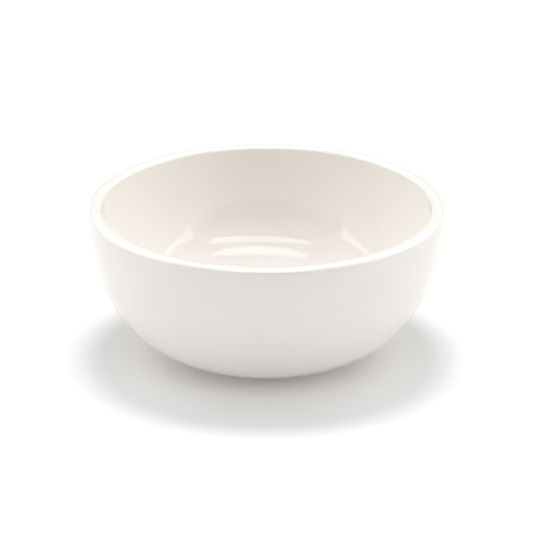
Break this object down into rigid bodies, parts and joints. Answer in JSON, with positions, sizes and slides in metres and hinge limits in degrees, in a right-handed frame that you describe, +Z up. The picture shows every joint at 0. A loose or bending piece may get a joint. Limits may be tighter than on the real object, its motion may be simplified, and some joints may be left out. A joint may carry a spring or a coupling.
{
  "type": "shaving bowl",
  "caption": "Round glazed porcelain bowl with a thick rounded lip, upright wall, full belly and low bare foot ring, for working up shaving lather.",
  "frame": {"origin": "centre of the foot ring's standing face, on the bowl's axis, where the bowl rests on a table", "axes": "+Z up along the bowl's axis, out of its mouth; the bowl is round, so +X and +Y are any two square directions"},
  "size_m": [0.12, 0.12, 0.0525],
  "materials": {
    "bare_porcelain": "fired, unglazed, finely sanded on the standing face",
    "glaze": "glossy warm ivory-white glaze"
  },
  "bodies": {
    "root": {"porcelain_body": "bare_porcelain", "glaze_coat": "glaze", "foot_recess_glaze": "glaze"}
  },
  "joints": []
}
